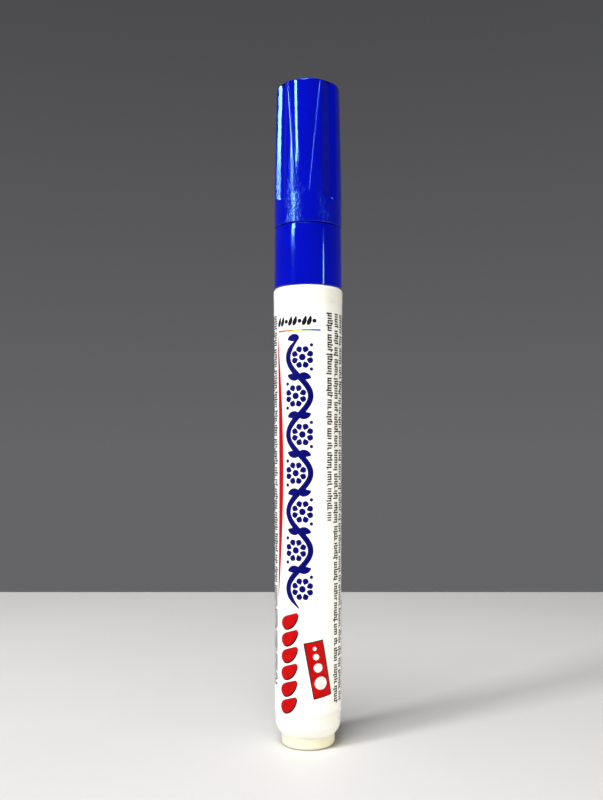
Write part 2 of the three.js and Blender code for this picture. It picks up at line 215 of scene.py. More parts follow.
def closed_surface(name, rings, first, last):
    """Rings of points, each wrapped round, with fans of triangles to the points before and after them."""
    rows, columns = rings.shape[:2]
    here = np.arange(columns)
    after = (here + 1) % columns
    tail = (rows - 1) * columns
    low = np.full(columns, rows * columns)
    below = np.stack([low, after, here], axis=1)
    above = np.stack([tail + here, tail + after, low + 1], axis=1)
    fans = np.vstack([below, above])
    points = np.vstack([rings.reshape(-1, 3), first, last])
    return mesh_object(name, points, grid_faces(rows, columns, wrap_columns=True), fans)


def dress(made, body, nodes, finish_name, sharp=35):
    """Shades a piece smooth but for its sharp edges, gives it its finish and body, and hides the frame nodes
    it stands for.
    """
    slot, maker, *values = FINISHES[finish_name]
    made.data.shade_smooth()
    made.data.set_sharp_from_angle(angle=math.radians(sharp))
    made.data.materials.append(bpy.data.materials.get(finish_name) or maker(finish_name, *values))
    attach(made, body)
    if nodes:
        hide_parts(*nodes)


def ring_points(radius, height, angle):
    """Points at these radii, heights and angles; angle 0 faces -Y and grows towards +X."""
    x, y, z = np.broadcast_arrays(radius * np.sin(angle), -radius * np.cos(angle), height)
    return np.stack([x, y, z], axis=-1)


def quarter_round(radius, height, reach, rise, count):
    """Quarter of an ellipse, upright where it starts, that ends reach further out and rise higher."""
    turn = np.linspace(0, np.pi / 2, count)
    return pairs(radius + reach * (1 - np.cos(turn)), height + rise * np.sin(turn))


def rounded(corners, closed=False):
    """Outline through corners (radius, height, rounding): each corner becomes an arc tangent to its sides,
    with a holding point just past each end of the arc."""
    arc_step, hold, most = math.radians(12), 0.04, 0.42
    places = np.array(corners, float)[:, :2]
    found = []
    for i, (here, corner) in enumerate(zip(places, corners)):
        if corner[2] == 0 or (not closed and i in (0, len(corners) - 1)):
            found.append(here[None])
            continue
        back, on = places[i - 1] - here, places[(i + 1) % len(places)] - here
        shorter = min(np.linalg.norm(back), np.linalg.norm(on))
        back, on = back / np.linalg.norm(back), on / np.linalg.norm(on)
        half = math.acos(np.clip(back @ on, -1, 1)) / 2
        reach = min(corner[2] / math.tan(half), most * shorter)
        radius = reach * math.tan(half)
        centre = here + (back + on) / np.linalg.norm(back + on) * radius / math.sin(half)
        start, end = (math.atan2(*(here + way * reach - centre)[::-1]) for way in (back, on))
        turn = (end - start + math.pi) % (2 * math.pi) - math.pi
        angle = start + turn * np.linspace(0, 1, max(3, math.ceil(abs(turn) / arc_step)) + 1)
        arc = centre + radius * pairs(np.cos(angle), np.sin(angle))
        found.append(np.vstack([arc[0] + back * hold, arc, arc[-1] + on * hold]))
    return np.vstack(found)


def turned(name, outline, sides, closed=False, radius_change=None):
    """Surface of revolution: one parameter runs along the outline (radius, height), outwards, up and back in,
    and the other round +Z. radius_change(angle, height), if given, is added to the radius."""
    angle = np.linspace(0, 2 * np.pi, sides, endpoint=False)[None, :]
    rings = outline if closed else outline[1:-1]
    radius, height = rings[:, :1], rings[:, 1:]
    if radius_change is not None:
        radius = radius + radius_change(angle, height)
    points = ring_points(radius, height, angle)
    if closed:
        return mesh_object(name, points.reshape(-1, 3), grid_faces(len(rings), sides, True, True))
    return closed_surface(name, points, (0, 0, outline[0, 1]), (0, 0, outline[-1, 1]))


def barrel_radius(height):
    """Outside of the barrel: the tail radius, widening with a power of the height to the mouth radius."""
    start, radius = BARREL_BOTTOM + SWELL, sizes().tail_radius
    rise = np.clip((height - start) / (BARREL_TOP - start), 0, None)
    return radius + (BARREL_RADIUS - radius) * rise**FLARE_POWER


def film_radius(height):
    """Outside of the printed film."""
    return barrel_radius(height) - SEAT + GLUE + sizes().film


def cap_radius(height):
    """Outside of the cap without relief: straight at the mouth, then narrowing with a power of the height."""
    start = CAP_BOTTOM + CAP_STRAIGHT
    rise = np.clip((height - start) / (CAP_TOP - start), 0, None)
    return CAP_RADIUS - sizes().cap_narrowing * rise**CAP_POWER


def smooth_step(value):
    """0 below 0, 1 above 1, and an even S between."""
    value = np.clip(value, 0, 1)
    return value * value * (3 - 2 * value)


def soft_max(a, b, blend):
    """The larger of a and b, rounded over where they are within blend of each other."""
    share = np.clip(0.5 + (a - b) / (2 * blend), 0, 1)
    return b + (a - b) * share + blend * share * (1 - share)


# Finishes


def feed(tree, node, **values):
    """Node with its settings and inputs set, or linked where the value is an output. Underscores stand for
    spaces in an input's name."""
    for key, value in values.items():
        if hasattr(node, key):
            setattr(node, key, value)
        elif isinstance(value, bpy.types.NodeSocket):
            tree.links.new(value, node.inputs[key.replace("_", " ")])
        else:
            node.inputs[key.replace("_", " ")].default_value = value
    return node


def add_node(tree, kind, **values):
    """New node of a kind, fed with values."""
    return feed(tree, tree.nodes.new(kind), **values)


def finish(name, **values):
    """New material with its shader fed."""
    material = bpy.data.materials.new(name)
    material.use_nodes = True
    tree = material.node_tree
    return material, tree, feed(tree, tree.nodes["Principled BSDF"], **values)


def object_noise(tree, scale, detail, stretch=(1.0, 1.0, 1.0), roughness=0.5):
    """Noise on the piece's own coordinates, in cells of about 1 / scale metres, stretched along the axes."""
    place = add_node(tree, "ShaderNodeTexCoord").outputs["Object"]
    place = add_node(tree, "ShaderNodeMapping", Vector=place, Scale=stretch).outputs["Vector"]
    grain = {"Scale": scale, "Detail": detail, "Roughness": roughness}
    return add_node(tree, "ShaderNodeTexNoise", Vector=place, **grain).outputs["Fac"]


def height_of(tree, coordinates):
    """Height of the shaded point in these coordinates."""
    place = add_node(tree, "ShaderNodeTexCoord").outputs[coordinates]
    return add_node(tree, "ShaderNodeSeparateXYZ", Vector=place).outputs["Z"]


def run_between(tree, source, start, end, low=0.0, high=1.0):
    """Value that runs from low to high, and no further, while the source runs from start to end."""
    ends = {"From_Min": start, "From_Max": end, "To_Min": low, "To_Max": high}
    return add_node(tree, "ShaderNodeMapRange", Value=source, **ends).outputs["Result"]


def vary_colour(tree, shader, noise, first, second):
    """Base colour that runs between two colours with the noise."""
    ramp = add_node(tree, "ShaderNodeValToRGB", Fac=noise)
    for element, position, colour in zip(ramp.color_ramp.elements, (0.35, 0.65), (first, second)):
        element.position = position
        element.color = (*colour, 1)
    feed(tree, shader, Base_Color=ramp.outputs["Color"])


def add_bump(tree, shader, source, strength, distance, **under):
    """Bump of that height in metres on the shader's normal."""
    bump = add_node(tree, "ShaderNodeBump", Height=source, Strength=strength, Distance=distance, **under)
    feed(tree, shader, Normal=bump.outputs["Normal"])
    return bump.outputs["Normal"]


def grained(name, cells, first, second, roughness, bump=None, **sockets):
    """Material whose colour, roughness and height vary with a noise each. cells says what object_noise takes
    for them, roughness its two ends, and bump its strength and its height in metres."""
    material, tree, shader = finish(name, **sockets)
    vary_colour(tree, shader, object_noise(tree, *cells[0]), first, second)
    feed(tree, shader, Roughness=run_between(tree, object_noise(tree, *cells[1]), 0.3, 0.7, *roughness))
    if bump:
        add_bump(tree, shader, object_noise(tree, *cells[2]), *bump)
    return material


def scaled(colour, by):
    """Colour with each channel multiplied, and 1 at most."""
    return tuple(min(1.0, c * by) for c in colour)


def warm_white(name, tint, cells, roughness, bump):
    """Tinted warm white with a fine grain, which lets a little light through."""
    white = tuple(np.array(colours().white) * tint)
    depth = {"Subsurface_Weight": 0.12, "Subsurface_Scale": 0.002, "Subsurface_Radius": (1.0, 0.9, 0.6)}
    return grained(name, cells, scaled(white, 0.985), white, roughness, bump, Base_Color=(*white, 1), **depth)


def ink(name, colour):
    """Printed ink with slightly uneven cover and gloss, in a colour or in the setting of that name."""
    colour = tuple(getattr(colours(), colour)) if isinstance(colour, str) else colour
    ends = scaled(colour, 0.85), scaled(colour, 1.1)
    matt = {"Base_Color": (*colour, 1), "Specular_IOR_Level": 0.06}
    return grained(name, ((900, 5), (1200, 3)), *ends, (0.4, 0.6), **matt)


def blue_plastic(name, scuffed):
    """Glossy ultramarine plastic with a soft waviness from moulding. Where it is scuffed, which fades out up
    the cap from the grip band, small dents break the highlights into sparkles."""
    blue = tuple(colours().blue)
    tint = (0.3, 0.8, 1.0, 1.0)
    material, tree, shader = finish(name, Base_Color=(*blue, 1), Specular_IOR_Level=0.5, Specular_Tint=tint)
    vary_colour(tree, shader, object_noise(tree, 90, 3), scaled(blue, 0.92), scaled(blue, 1.06))
    wave = add_bump(tree, shader, object_noise(tree, 160, 2), 0.3, 0.00004)
    start, end = (CAP_BOTTOM + 6) * MM, (CAP_BOTTOM + 17) * MM
    fade = run_between(tree, height_of(tree, "Object"), start, end, scuffed, 0.06 * scuffed)
    dents = run_between(tree, object_noise(tree, 3300, 0.5, (1, 1, 0.8)), 0.36, 0.6)
    pits = add_node(tree, "ShaderNodeMath", operation="MULTIPLY")
    tree.links.new(dents, pits.inputs[0])
    tree.links.new(fade, pits.inputs[1])
    add_bump(tree, shader, pits.outputs["Value"], 1.0, 0.00003, Normal=wave)
    feed(tree, shader, Roughness=run_between(tree, pits.outputs["Value"], 0, 1, 0.07, 0.1))
    return material


def natural_plastic(name):
    """Unpigmented plastic, milky and a little translucent."""
    natural = tuple(colours().natural)
    milky = {"Base_Color": (*natural, 1), "Subsurface_Weight": 0.5, "Subsurface_Scale": 0.002}
    cells = (200, 4), (600, 4), (1800, 3)
    return grained(name, cells, scaled(natural, 0.95), natural, (0.35, 0.5), (0.2, 0.00002), **milky)


def nib_fibre(name):
    """Bonded fibres soaked with blue paint, in streaks along the nib."""
    sheen = {"Sheen_Weight": 0.3, "Sheen_Tint": (*colours().blue, 1.0)}
    streaks = (2600, 6, (1, 1, 0.08), 0.7)
    ends = (0.004, 0.012, 0.2), (0.02, 0.06, 0.62)
    return grained(name, (streaks, streaks, streaks), *ends, (0.6, 0.95), (0.8, 0.00008), **sheen)


def seal_rubber(name):
    """Matt dark rubber with a fine grain."""
    ends = (0.02, 0.02, 0.023), (0.035, 0.035, 0.04)
    return grained(name, ((800, 4), (1500, 4), (4000, 4)), *ends, (0.7, 0.9), (0.4, 0.00002))


def bright_steel(name):
    """Bright steel with fine polishing marks."""
    marks = (2500, 5, (1, 1, 1), 0.6)
    ends = (0.5, 0.51, 0.53), (0.66, 0.67, 0.69)
    return grained(name, (marks, marks, marks), *ends, (0.14, 0.32), (0.15, 0.00001), Metallic=1.0)


RULE_COLOURS = {
    "rule_red": (0.7, 0.02, 0.01),
    "rule_orange": (0.9, 0.22, 0.01),
    "rule_yellow": (0.9, 0.7, 0.02),
    "rule_green": (0.03, 0.4, 0.05),
    "rule_blue": (0.01, 0.06, 0.6),
}

# What grained takes for orange peel and for paper grain
PEEL = ((60, 3), (400, 4), (900, 3)), (0.26, 0.4), (0.25, 0.00003)
PAPER = ((150, 5), (700, 4), (1500, 3)), (0.22, 0.34), (0.15, 0.00002)

# Each finish with its slot, its maker and what the maker takes besides the name
FINISHES = {
    "barrel_plastic": ("white_plastic", warm_white, (1.05, 1.05, 1.05), *PEEL),
    "plug_plastic": ("white_plastic", warm_white, (0.98, 0.96, 0.8), *PEEL),
    "label_film": ("label_film", warm_white, (1, 1, 1), *PAPER),
    **{"ink_" + name: ("label_film", ink, name) for name in ("navy", "red", "black", "white")},
    **{"ink_" + name: ("label_film", ink, colour) for name, colour in RULE_COLOURS.items()},
    "blue_collar": ("blue_plastic", blue_plastic, 0.05),
    "blue_cap": ("blue_plastic", blue_plastic, 1.0),
    "natural_plastic": ("natural_plastic", natural_plastic),
    "nib_fibre": ("nib_fibre", nib_fibre),
    "seal_rubber": ("seal_rubber", seal_rubber),
    "spring_steel": ("steel", bright_steel),
    "ball_steel": ("steel", bright_steel),
}


# Print on the film


def strip(path, half_width):
    """Flat strip in the print's plane: path holds points (across, height), half_width the half width at each,
    and the grid runs along the path and across it, with columns narrow enough to follow the film."""
    ahead = np.gradient(path, axis=0)
    ahead = ahead / np.maximum(np.linalg.norm(ahead, axis=1, keepdims=True), 1e-9)
    side = pairs(ahead[:, 1], -ahead[:, 0])
    columns = max(1, math.ceil(2 * np.max(half_width) / COLUMN_WIDTH))
    offset = np.broadcast_to(half_width, len(path))[:, None] * np.linspace(-1, 1, columns + 1)
    return path[:, None] + offset[..., None] * side[:, None]


def disc(across, height, radius):
    """Round dot as a strip whose half width follows a circle."""
    turn = np.linspace(0.02, np.pi - 0.02, 12 + int(8 * radius))
    return strip(pairs(across, height - radius * np.cos(turn)), radius * np.sin(turn))


def leaf(across, height, length, half_width, direction, bend=0.0, fullness=0.75):
    """Pointed leaf from a foot: the half width swells and closes along a bent line in that direction."""
    steps = 10 + int(4 * length)
    share = np.linspace(0.004, 0.996, steps)
    heading = direction + bend * (share - 0.3)
    path = np.cumsum(pairs(np.cos(heading), np.sin(heading)) * (length / steps), axis=0)
    return strip(path + [across, height], half_width * np.sin(np.pi * share**fullness) ** 0.7)


def line(start, end, half_width, step=0.35):
    """Straight strip between two points (across, height), with points about step apart."""
    start, end = np.array(start, float), np.array(end, float)
    count = max(2, math.ceil(np.linalg.norm(end - start) / step) + 1)
    return strip(start + (end - start) * np.linspace(0, 1, count)[:, None], half_width)


def printed(name, strips, layer, finish_name):
    """One piece from flat strips: each is wrapped round the film as a thin closed plate, layer inks high, and
    its underside lies in the film."""
    points, quads, count = [], [], 0
    for grid in strips:
        rows, columns = grid.shape[:2]
        angle, height = grid[..., 0] / PRINT_RADIUS, grid[..., 1]
        for lift in (INK * layer, -0.5 * sizes().film):
            points.append(ring_points(film_radius(height) + lift, height, angle).reshape(-1, 3))
        place = np.arange(rows * columns).reshape(rows, columns) + count
        edge = np.concatenate([place[0], place[1:, -1], place[-1, -2::-1], place[-2:0:-1, 0]])
        face = grid_faces(rows, columns, start=count)
        quads += [face, face[:, ::-1] + rows * columns, walls(edge, edge + rows * columns)]
        count += 2 * rows * columns
    dress(mesh_object(name, np.vstack(points), np.vstack(quads)), "pen_body", (), finish_name, sharp=30)


def vine_strips():
    """Scrolling stem with flowers and leaves: the stem's distance from the middle is a sine of the height, a
    round flower fills each bend, and leaves part from the stem between the bends."""
    height = np.linspace(VINE_BOTTOM, VINE_TOP, 300)
    turn = (height - VINE_BOTTOM) / (VINE_TOP - VINE_BOTTOM) * VINE_WAVES * 2 * np.pi
    taper = np.minimum(1, np.minimum(height - VINE_BOTTOM, VINE_TOP - height) / 3 + 0.2)
    found = [strip(pairs(VINE_MIDDLE - VINE_SWING * np.sin(turn), height), 0.58 * taper)]
    bends = int(2 * VINE_WAVES)
    petals, petal_foot = 8, 0.9
    for i in range(bends):
        side = -1 if i % 2 == 0 else 1
        crest = VINE_BOTTOM + (i + 0.5) * (VINE_TOP - VINE_BOTTOM) / bends
        heart = VINE_MIDDLE - side * 0.72
        found.append(disc(heart, crest, 0.7))
        for direction in 2 * math.pi * (np.arange(petals) + 0.5) / petals:
            foot = heart + petal_foot * math.cos(direction), crest + petal_foot * math.sin(direction)
            found.append(leaf(*foot, 1.5, 0.64, direction, fullness=1.25))
        for up in (-1, 1) if i else (1,):
            root = VINE_MIDDLE - side * 0.15, crest + up * 3.85
            outward = (1 - side) * math.pi / 2 + up * side * 0.1
            found.append(leaf(*root, 2.8, 0.8, outward, -up * side * 0.9))
            found.append(disc(VINE_MIDDLE - side * 2.6, crest + up * 2.5, 0.36))
    return found


def dab_strips(across, height):
    """Slanted brush dabs, one above another, at the lower left of the front, moved by across and height."""
    feet = [(-6.75 + across + 0.06 * i, 8.9 + 3.5 * i + height) for i in range(6)]
    return [leaf(*foot, 5.0, 1.3, math.radians(24), bend=0.75, fullness=0.65) for foot in feet]


def tag_strips(grow):
    """Slanted plate of the tag, grown by grow on every side."""
    reach = TAG_DOWN * (5.7 + grow)
    return [line(TAG_MIDDLE - reach, TAG_MIDDLE + reach, 1.92 + grow)]


def tag_marks():
    """Dots of growing size on the tag, as a scale of line widths."""
    places = ((-4.4, 0.4), (-2.65, 0.65), (-0.35, 0.95), (2.9, 1.35))
    return [disc(*(TAG_MIDDLE + TAG_DOWN * place), radius) for place, radius in places]


def heading_strips():
    """Row of small slanted strokes and dots above the vine."""
    found = []
    for i in range(9):
        across = -6.9 + 1.02 * i
        stroke = leaf(across - 0.45, 88.5, 2.2, 0.44, math.radians(66), bend=0.4)
        found.append(disc(across, 89.5, 0.42) if i % 3 == 2 else stroke)
    return found


def pinstripe_strips():
    """Upright stripe left of the vine that bulges towards it."""
    rise = np.linspace(0, 1, 160)
    bulge = np.sin(np.pi * rise) ** 0.8
    return [strip(pairs(-7.6 + 1.1 * bulge, 32 + (86.7 - 32) * rise), 0.08 + 0.62 * bulge)]


def rule_strips(place):
    """Length of the coloured rule over the vine, the place-th of its colours."""
    start, height, length = -7.2 + 1.95 * place, 87.6, 1.95
    return [line((start, height), (start + length, height), 0.16)]


def tick_groups(across, bottom, top, seed):
    """Small upright ticks in groups, one above another, some with a short side line."""
    draw = np.random.default_rng(seed)
    found = []
    height = top
    left = int(draw.integers(3, 10))
    while height > bottom:
        if left == 0:
            height -= TICK_PACE
            left = int(draw.integers(3, 10))
            continue
        reach = 0.85 if draw.random() < 0.25 else 0.55
        low = -0.85 if draw.random() < 0.12 else -0.55
        found.append(line((across + low, height), (across + reach, height), 0.15, step=0.6))
        if draw.random() < 0.6:
            edge = across + (0.42 if draw.random() < 0.5 else -0.42)
            found.append(line((edge, height), (edge, height - TICK_PACE), 0.13, step=1.0))
        height -= TICK_PACE
        left -= 1
    return found


def tick_strips():
    """Columns of ticks round the film, each (across, bottom, top)."""
    columns = [(4.75, 47.8, 91.2), (6.75, 9.8, 91.2), (8.6, 9.8, 91.2), (10.4, 11.0, 91.2)]
    columns += [(13.2, 20.0, 90.0), (14.6, 20.0, 90.0), (-8.7, 13.0, 91.0), (-10.1, 13.0, 91.0)]
    columns += [(-11.5, 30.0, 91.0), (-14.0, 20.0, 80.0), (-15.4, 20.0, 80.0)]
    return [tick for seed, column in enumerate(columns) for tick in tick_groups(*column, seed)]


# Pieces


class MARKER_OT_barrel(bpy.types.Operator):
    """White barrel with the seat for the film, the rounded tail edge and the open mouth"""

    bl_idname = "marker.barrel"
    bl_label = "Barrel"

    def execute(self, context):
        width, height, power = 1.2, 2.2, 2 / 1.5
        turn = np.linspace(0, np.pi / 2, 20)
        sine, cosine = np.sin(turn) ** power, np.cos(turn) ** power
        bevel = pairs(PLUG_RADIUS + width * sine, BARREL_BOTTOM + height * (1 - cosine))
        out, up = PLUG_RADIUS + width, BARREL_BOTTOM + height
        swell = quarter_round(out, up, sizes().tail_radius - out, SWELL - height, len(turn))[1:-1]
        low, high = LABEL_BOTTOM - 0.05, LABEL_TOP + 0.05
        bore, seat_bore, floor = 4.4, BARREL_RADIUS - 1.1, BARREL_BOTTOM + 1.5
        edge = MOUTH_EDGE
        seat = [low + 0.001, low + 0.05, *np.linspace(low + 1, high - 1, 40), high - 0.05, high - 0.001]

        def wall(heights, inset=0.0):
            return pairs(barrel_radius(np.array(heights)) - inset, heights)

        inside = wall(np.linspace(SPIGOT_BOTTOM - 1, BARREL_BOTTOM + SWELL, 12), BARREL_WALL)
        parts = [
            [(bore, BARREL_BOTTOM)],
            bevel,
            swell,
            wall([BARREL_BOTTOM + SWELL, low - 0.04, low]),
            wall(seat, SEAT),
            wall([high, high + 0.04, BARREL_TOP - edge - 0.05]),
            quarter_round(barrel_radius(BARREL_TOP), BARREL_TOP - edge, -edge, edge, 9),
            [(BARREL_RADIUS - edge - 0.05, BARREL_TOP), (seat_bore + 0.05, BARREL_TOP)],
            [(seat_bore, BARREL_TOP - 0.05), (seat_bore, SPIGOT_BOTTOM - 0.4)],
            inside,
            rounded([(*inside[-1], 0), (inside[-1, 0] - 0.2, floor, 1.2), (bore, floor, 0)]),
        ]
        made = turned("barrel_shell", np.vstack(parts), sizes().sides, closed=True)
        dress(made, "pen_body", ["barrel"], "barrel_plastic")
        return {"FINISHED"}


class MARKER_OT_tail_plug(bpy.types.Operator):
    """Cup-shaped plug with a flat base, drawn in a little towards it"""

    bl_idname = "marker.tail_plug"
    bl_label = "Tail plug"

    def execute(self, context):
        stem, cup, cup_floor = 4.3, 3.2, PLUG_BOTTOM + 1.3
        outside = [(0, PLUG_BOTTOM, 0), (PLUG_RADIUS - 0.1, PLUG_BOTTOM, 0.95)]
        shaft = [(PLUG_RADIUS, BARREL_BOTTOM, 0.08), (stem, BARREL_BOTTOM, 0), (stem, PLUG_TOP, 0.4)]
        inside = [(cup, PLUG_TOP, 0.2), (cup, cup_floor, 0.3), (0, cup_floor, 0)]
        made = turned("plug_body", rounded(outside + shaft + inside), sizes().sides)
        dress(made, "pen_body", ["tail_plug"], "plug_plastic")
        return {"FINISHED"}


class MARKER_OT_label(bpy.types.Operator):
    """Thin film round the barrel, open at its seam at the back"""

    bl_idname = "marker.label"
    bl_label = "Label film"

    def execute(self, context):
        half_seam = 0.15 / LABEL_RADIUS
        angle = np.linspace(-np.pi + half_seam, np.pi - half_seam, 361)
        height = np.linspace(LABEL_BOTTOM - 0.03, LABEL_TOP + 0.03, 60)
        radius = np.concatenate([film_radius(height), film_radius(height)[::-1] - sizes().film])[:, None]
        points = ring_points(radius, np.concatenate([height, height[::-1]])[:, None], angle[None, :])
        rows, columns = points.shape[:2]
        low = np.arange(len(height) - 1) * columns
        pair = (rows - 1) * columns - low
        first = np.stack([low, low + columns, pair - columns, pair], axis=1)
        quads = np.vstack([grid_faces(rows, columns, wrap_rows=True), first, first[:, ::-1] + columns - 1])
        made = mesh_object("label_sleeve", points.reshape(-1, 3), quads)
        dress(made, "pen_body", ["printed_label"], "label_film")
        return {"FINISHED"}


class MARKER_OT_print(bpy.types.Operator):
    """Generic print on the film: navy vine, red dabs, a red tag, a coloured rule and rows of fine ticks"""

    bl_idname = "marker.print"
    bl_label = "Print"

    def execute(self, context):
        shapes = [
            ("vine", vine_strips(), 1, "navy"),
            ("dab_shadows", dab_strips(0.2, -0.26), 1, "black"),
            ("dabs", dab_strips(0, 0), 2, "red"),
            ("tag_border", tag_strips(0.22), 1, "black"),
            ("tag", tag_strips(0.0), 2, "red"),
            ("tag_dots", tag_marks(), 3, "white"),
            ("heading", heading_strips(), 1, "black"),
            ("pinstripe", pinstripe_strips(), 1, "red"),
            *((name, rule_strips(place), 1, name) for place, name in enumerate(RULE_COLOURS)),
            ("ticks", tick_strips(), 1, "black"),
        ]
        for name, strips, layer, colour in shapes:
            printed("print_" + name, strips, layer, "ink_" + colour)
        return {"FINISHED"}


class MARKER_OT_front_section(bpy.types.Operator):
    """Blue moulding with the spigot, the collar, the neck with its bead, and the nose"""

    bl_idname = "marker.front_section"
    bl_label = "Front section"

    def bead(self, radius, middle, high):
        """Half round bead on a radius, as corners of an outline."""
        turns = np.linspace(0, np.pi, 9)
        return [(radius + high * math.sin(t), middle - 0.6 * math.cos(t), 0) for t in turns]

    def execute(self, context):
        foot, head = SPIGOT_BOTTOM, NOSE_TOP
        collar_top, collar = CAP_BOTTOM - 0.15, COLLAR_RADIUS - 0.09
        neck_top = LINER_BOTTOM - 0.1
        spigot, neck, bore = 6.16, 6.0, 4.75
        nose_foot, nose_end, nose_swell = 4.59, 2.9, 0.35
        nib_hole, nib_room, nib_foot = 1.95, 2.3, 3.0
        rise = np.linspace(0.03, 0.97, 14)
        nose_radius = nose_foot + (nose_end - nose_foot) * rise + nose_swell * np.sin(np.pi * rise)
        nose = pairs(nose_radius, neck_top + (head - 0.3 - neck_top) * rise)
        corners = [
            (bore, foot, 0.1), (spigot - 0.4, foot, 0.1), (spigot, foot + 0.4, 0.1),
            *self.bead(spigot, foot + 2.8, 0.07), *self.bead(spigot, BARREL_TOP - 2, 0.07),
            (spigot, BARREL_TOP, 0), (COLLAR_RADIUS, BARREL_TOP, 0.08),
            (collar, collar_top - 1.2, 0.4), (collar - 0.1, collar_top, 0.2),
            (neck, collar_top, 0.05), *self.bead(neck, collar_top + 3.1, 0.1), (neck, neck_top, 0.3),
            (nose_foot, neck_top, 0.1), *((*place, 0) for place in nose), (nose_end, head, 0.35),
            (nib_hole, head, 0.08), (nib_hole, head - 2, 0), (nib_room, head - 2.35, 0),
            (nib_room, neck_top + 1.2, 0.3), (nib_foot, neck_top, 0.3),
            (nib_foot, SEAL_TOP, 0.05), (bore, SEAL_TOP, 0.05),
        ]
        made = turned("front_moulding", rounded(corners, closed=True), sizes().sides, closed=True)
        dress(made, "pen_body", ["front_section"], "blue_collar")
        return {"FINISHED"}


class MARKER_OT_nib(bpy.types.Operator):
    """Bullet-tipped fibre nib, its side broken into fine fibres"""

    bl_idname = "marker.nib"
    bl_label = "Nib"

    def fibres(self, angle, height):
        """Fine ridges: waves round the nib that drift a little with the height."""
        drift = 0.4 * np.sin(height * 1.7)
        ridges = np.sin(41 * angle + drift) + 0.7 * np.sin(67 * angle - 1.3 * drift + 1.0)
        return 0.012 * ridges - 0.022

    def execute(self, context):
        tip_height, tip_flat = 2.2, 0.25
        shoulder = NIB_TOP - tip_height
        foot = [(0, NIB_BOTTOM), (NIB_RADIUS - 0.35, NIB_BOTTOM)]
        side = pairs(NIB_RADIUS, np.linspace(NIB_BOTTOM + 0.4, shoulder - 0.1, 60))
        tip = quarter_round(NIB_RADIUS, shoulder, tip_flat - NIB_RADIUS, tip_height, 24)
        outline = np.vstack([foot, side, tip, [(0, NIB_TOP)]])
        made = turned("nib_rod", outline, SMALL_SIDES * 2, radius_change=self.fibres)
        dress(made, "nib", ["nib"], "nib_fibre", sharp=60)
        return {"FINISHED"}


class MARKER_OT_valve(bpy.types.Operator):
    """Housing with its four windows, soft seal and plunger"""

    bl_idname = "marker.valve"
    bl_label = "Valve"

    def execute(self, context):
        self.housing()
        self.seal()
        self.plunger()
        return {"FINISHED"}

    def housing(self):
        """Tube with a floor: a closed profile carried round +Z, with the cells of four windows left out of
        its outer and inner walls and their rims closed by flat cells."""
        radius, bore, hole = HOUSING_RADIUS, HOUSING_RADIUS - 1.2, 1.15
        bottom, top, floor_top = HOUSING_BOTTOM, HOUSING_TOP, HOUSING_BOTTOM + 1.5
        low, high = floor_top + 1.4, floor_top + 6.4
        outline = [(hole, bottom), (radius - 0.15, bottom)]
        outline += [(radius, z) for z in (bottom + 0.15, low, high, top - 0.1)]
        outline += [(radius - 0.1, top), (bore + 0.1, top)]
        outline += [(bore, z) for z in (top - 0.1, high, low, floor_top + 0.1)]
        outline += [(bore - 0.1, floor_top), (hole, floor_top)]
        outer_row, inner_row = outline.index((radius, low)), outline.index((bore, high))
        half, window, pillar = math.asin(1.4 / radius), 12, 20
        opening = np.linspace(-half, half, window, endpoint=False)
        quarter = np.append(opening, np.linspace(half, np.pi / 2 - half, pillar, endpoint=False))
        angle = (quarter + np.arange(4)[:, None] * np.pi / 2).ravel()
        rings = np.array(outline)
        points = ring_points(rings[:, :1], rings[:, 1:], angle)
        rows, columns = points.shape[:2]
        number = np.arange(rows * columns).reshape(rows, columns)
        kept = np.ones((rows, columns), bool)
        kept[[outer_row, inner_row]] = np.tile(np.arange(window + pillar) >= window, 4)
        quads = [grid_faces(rows, columns, wrap_rows=True, wrap_columns=True)[kept.ravel()]]
        for i in range(4):
            along = (i * (window + pillar) + np.arange(window + 1)) % columns
            inside = np.append(number[inner_row + 1, along], number[inner_row, along[::-1]])
            outside = np.append(number[outer_row, along], number[outer_row + 1, along[::-1]])
            quads.append(walls(inside, outside))
        made = mesh_object("housing_cage", points.reshape(-1, 3), np.vstack(quads))
        dress(made, "pen_body", ["valve_housing"], "natural_plastic", sharp=25)

    def seal(self):
        """Flat ring: a rectangle with rounded corners, turned round +Z."""
        hole, edge = 2.1, 0.12
        places = (hole, SEAL_BOTTOM), (SEAL_RADIUS, SEAL_BOTTOM), (SEAL_RADIUS, SEAL_TOP), (hole, SEAL_TOP)
        outline = rounded([(*place, edge) for place in places], closed=True)
        made = turned("seal_ring", outline, SMALL_SIDES, closed=True)
        dress(made, "pen_body", ["valve_seal"], "seal_rubber")

    def plunger(self):
        """Outline of the pin, the flange, the waist, the head and the stem, turned round +Z."""
        pin, flange, waist, stem = 0.95, HEAD_RADIUS - 0.3, 1.5, 1.0
        flange_top, head_bottom = SPRING_TOP + 1.12, SEAL_BOTTOM - 1.7
        lower = [(0, PIN_BOTTOM, 0), (pin, PIN_BOTTOM, 0.2), (pin, flange_top - 1, 0.05)]
        lower += [(flange, flange_top - 1, 0.1), (flange, flange_top, 0.1), (waist, flange_top, 0.1)]
        upper = [(waist, head_bottom, 0.1), (HEAD_RADIUS, head_bottom, 0.12)]
        upper += [(HEAD_RADIUS, SEAL_BOTTOM, 0.06), (stem, SEAL_BOTTOM, 0.1)]
        upper += [(stem, STEM_TOP, 0.1), (0, STEM_TOP, 0)]
        made = turned("plunger_stem", rounded(lower + upper), SMALL_SIDES)
        dress(made, "valve_plunger", ["valve_plunger"], "natural_plastic")


